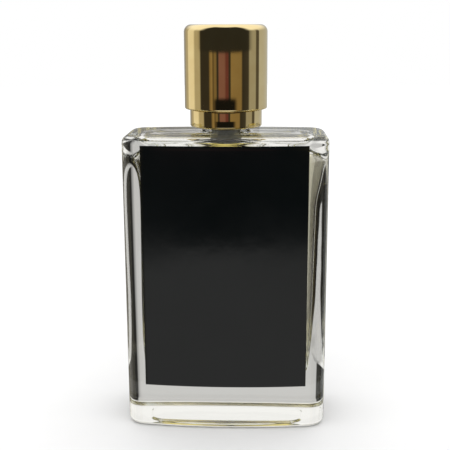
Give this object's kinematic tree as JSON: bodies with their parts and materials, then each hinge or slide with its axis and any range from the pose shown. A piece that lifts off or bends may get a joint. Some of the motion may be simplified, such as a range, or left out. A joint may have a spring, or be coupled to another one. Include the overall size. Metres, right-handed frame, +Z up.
{
  "type": "aftershave bottle",
  "caption": "Rectangular bowed glass spray bottle with a black front panel, a gold collar and a round gold lift-off cap over a fine-mist pump.",
  "frame": {"origin": "on the surface that the bottle stands on, below the middle of its foot", "axes": "+Z up through the pump and the cap, +X along the width, the panelled front faces -Y"},
  "size_m": [0.0554, 0.0277, 0.11],
  "materials": {
    "flint_glass": "clear polished flint glass",
    "black_lacquer": "glossy black lacquer",
    "fragrance": "clear pale yellow liquid",
    "gasket_rubber": "soft pale elastomer",
    "natural_plastic": "natural milky moulded plastic",
    "white_plastic": "white moulded plastic",
    "plain_aluminium": "bright drawn aluminium",
    "gold_collar": "polished pale gold",
    "black_plastic": "black moulded plastic",
    "spring_steel": "bright spring steel",
    "tube_plastic": "clear extruded tube",
    "gold_head": "polished pale gold",
    "gold_cap": "polished pale gold, mirror bright"
  },
  "bodies": {
    "flacon": {"bottle": "flint_glass", "front_panel": "black_lacquer", "liquid": "fragrance", "neck_gasket": "gasket_rubber", "pump_housing": "natural_plastic", "gland": "white_plastic", "ferrule": "plain_aluminium", "collar": "gold_collar", "collar_sleeve": "black_plastic", "main_spring": "spring_steel", "dip_tube": "tube_plastic"},
    "cap": {"cap_shell": "gold_cap", "cap_liner": "black_plastic"},
    "plunger": {"stem": "white_plastic", "valve_pin": "white_plastic", "precompression_spring": "spring_steel"},
    "piston_ring": {"piston": "natural_plastic"},
    "inlet_ball": {"check_ball": "spring_steel"},
    "spray_head": {"actuator": "black_plastic", "actuator_shell": "gold_head", "nozzle_insert": "black_plastic"}
  },
  "joints": [
    {"name": "cap_lift", "type": "slide", "parent": "flacon", "child": "cap", "axis": [0, 0, 1], "range_m": [0, 0.032]},
    {"name": "spray_press", "type": "slide", "parent": "flacon", "child": "plunger", "axis": [0, 0, -1], "range_m": [0, 0.005], "stiffness_N_per_m": 1500, "springref_m": -0.004, "deforming": ["main_spring"]},
    {"name": "piston_lag", "type": "slide", "parent": "plunger", "child": "piston_ring", "axis": [0, 0, 1], "range_m": [0, 0.0005], "deforming": ["precompression_spring"]},
    {"name": "spray_turn", "type": "hinge", "parent": "plunger", "child": "spray_head", "pos_m": [0, 0, 0.1], "axis": [0, 0, 1], "continuous": true},
    {"name": "ball_lift", "type": "slide", "parent": "flacon", "child": "inlet_ball", "axis": [0, 0, 1], "range_m": [0, 0.0008]}
  ],
  "couplings": [
    {"joint": "piston_lag", "follows": "spray_press", "ratio": 0.1}
  ]
}
